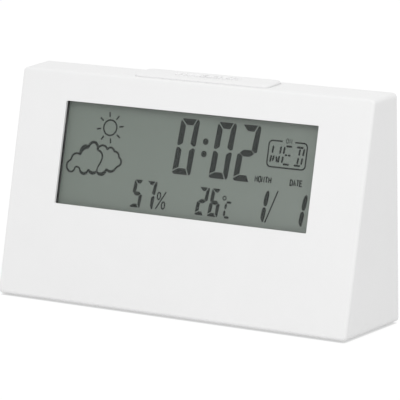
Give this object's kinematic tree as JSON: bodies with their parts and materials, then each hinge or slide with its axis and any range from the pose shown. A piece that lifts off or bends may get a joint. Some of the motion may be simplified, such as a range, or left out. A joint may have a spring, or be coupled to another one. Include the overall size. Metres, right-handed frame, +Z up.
{
  "type": "thermometer hygrometer clock",
  "caption": "Wedge-shaped desk clock with a liquid crystal display for time, date, temperature and humidity, a snooze and light bar on top, rear keys and a battery door.",
  "frame": {"origin": "on the table, under the middle of the case's outline in plan", "axes": "+X to the right as seen from the front, +Y from the front to the back, +Z up; the display faces -Y and leans back"},
  "size_m": [0.135, 0.0344, 0.0765],
  "materials": {
    "case_white": "fine satin moulded ABS, white",
    "key_plastic": "satin moulded plastic, white",
    "clear_window": "clear polished plastic sheet",
    "black_foam": "black closed-cell foam",
    "polarizer_film": "grey polarizing film",
    "display_glass": "thin display glass",
    "light_guide": "frosted clear acrylic",
    "lamp_housing": "white lamp body with pale lens",
    "holder_plastic": "plain moulded plastic, off-white",
    "zebra_rubber": "layered conductive rubber",
    "circuit_board": "green solder mask on glass fibre",
    "chip_resin": "black epoxy",
    "capacitor_sleeve": "dark printed sleeve without print",
    "tinned_steel": "nickel-plated spring steel",
    "screw_steel": "zinc-plated steel",
    "switch_plastic": "black moulded plastic",
    "plunger_plastic": "black moulded plastic",
    "sounder_brass": "thin rolled brass",
    "sounder_ceramic": "silvered ceramic",
    "cell_sleeve": "plain wrapped cell with bare ends",
    "red_insulation": "red lead insulation",
    "black_insulation": "black lead insulation",
    "grey_insulation": "grey lead insulation",
    "foot_rubber": "pale translucent rubber"
  },
  "bodies": {
    "case": {"front_housing": "case_white", "rear_cover": "case_white", "display_lens": "clear_window", "lens_gasket": "black_foam", "lcd_front_polarizer": "polarizer_film", "lcd_front_glass": "display_glass", "lcd_rear_glass": "display_glass", "lcd_rear_polarizer": "polarizer_film", "backlight_guide": "light_guide", "backlight_led": "lamp_housing", "lcd_holder": "holder_plastic", "zebra_strip": "zebra_rubber", "main_board": "circuit_board", "snooze_board": "circuit_board", "key_board": "circuit_board", "sensor_board": "circuit_board", "controller_chip": "chip_resin", "timing_crystal": "tinned_steel", "board_capacitor": "capacitor_sleeve", "board_resistors": "chip_resin", "board_screws": "screw_steel", "snooze_board_screws": "screw_steel", "key_board_screws": "screw_steel", "sensor_board_screws": "screw_steel", "cover_screws": "screw_steel", "snooze_switch": "switch_plastic", "key_switches": "switch_plastic", "humidity_sensor": "holder_plastic", "temperature_sensor": "chip_resin", "buzzer_disc": "sounder_brass", "buzzer_ceramic": "sounder_ceramic", "battery_upper": "cell_sleeve", "battery_lower": "cell_sleeve", "battery_bridge_contact": "tinned_steel", "battery_positive_contact": "tinned_steel", "battery_negative_contact": "tinned_steel", "battery_lead_red": "red_insulation", "battery_lead_black": "black_insulation", "buzzer_leads": "black_insulation", "sensor_leads": "grey_insulation", "snooze_leads": "grey_insulation", "key_board_ribbon": "grey_insulation", "foot_front_left": "foot_rubber", "foot_front_right": "foot_rubber", "foot_back_left": "foot_rubber", "foot_back_right": "foot_rubber"},
    "snooze": {"snooze_bar": "case_white", "snooze_switch_plunger": "plunger_plastic"},
    "door": {"battery_door": "case_white"},
    "mode_key": {"mode_key": "key_plastic", "mode_key_plunger": "plunger_plastic"},
    "alarm_key": {"alarm_key": "key_plastic", "alarm_key_plunger": "plunger_plastic"},
    "up_key": {"up_key": "key_plastic", "up_key_plunger": "plunger_plastic"},
    "down_key": {"down_key": "key_plastic", "down_key_plunger": "plunger_plastic"},
    "units_key": {"units_key": "key_plastic", "units_key_plunger": "plunger_plastic"}
  },
  "joints": [
    {"name": "snooze_press", "type": "slide", "parent": "case", "child": "snooze", "axis": [0, 0, -1], "range_m": [0, 0.0004], "stiffness_N_per_m": 400, "springref_m": -0.0006},
    {"name": "door_swing", "type": "hinge", "parent": "case", "child": "door", "pos_m": [0, 0.01667, 0.00598], "axis": [-1, 0, 0], "range_deg": [0, 70]},
    {"name": "mode_key_press", "type": "slide", "parent": "case", "child": "mode_key", "axis": [0, -0.9992, -0.04], "range_m": [0, 0.0003], "stiffness_N_per_m": 400, "springref_m": -0.0006},
    {"name": "alarm_key_press", "type": "slide", "parent": "case", "child": "alarm_key", "axis": [0, -0.9992, -0.04], "range_m": [0, 0.0003], "stiffness_N_per_m": 400, "springref_m": -0.0006},
    {"name": "up_key_press", "type": "slide", "parent": "case", "child": "up_key", "axis": [0, -0.9992, -0.04], "range_m": [0, 0.0003], "stiffness_N_per_m": 400, "springref_m": -0.0006},
    {"name": "down_key_press", "type": "slide", "parent": "case", "child": "down_key", "axis": [0, -0.9992, -0.04], "range_m": [0, 0.0003], "stiffness_N_per_m": 400, "springref_m": -0.0006},
    {"name": "units_key_press", "type": "slide", "parent": "case", "child": "units_key", "axis": [0, -0.9992, -0.04], "range_m": [0, 0.0003], "stiffness_N_per_m": 400, "springref_m": -0.0006}
  ]
}
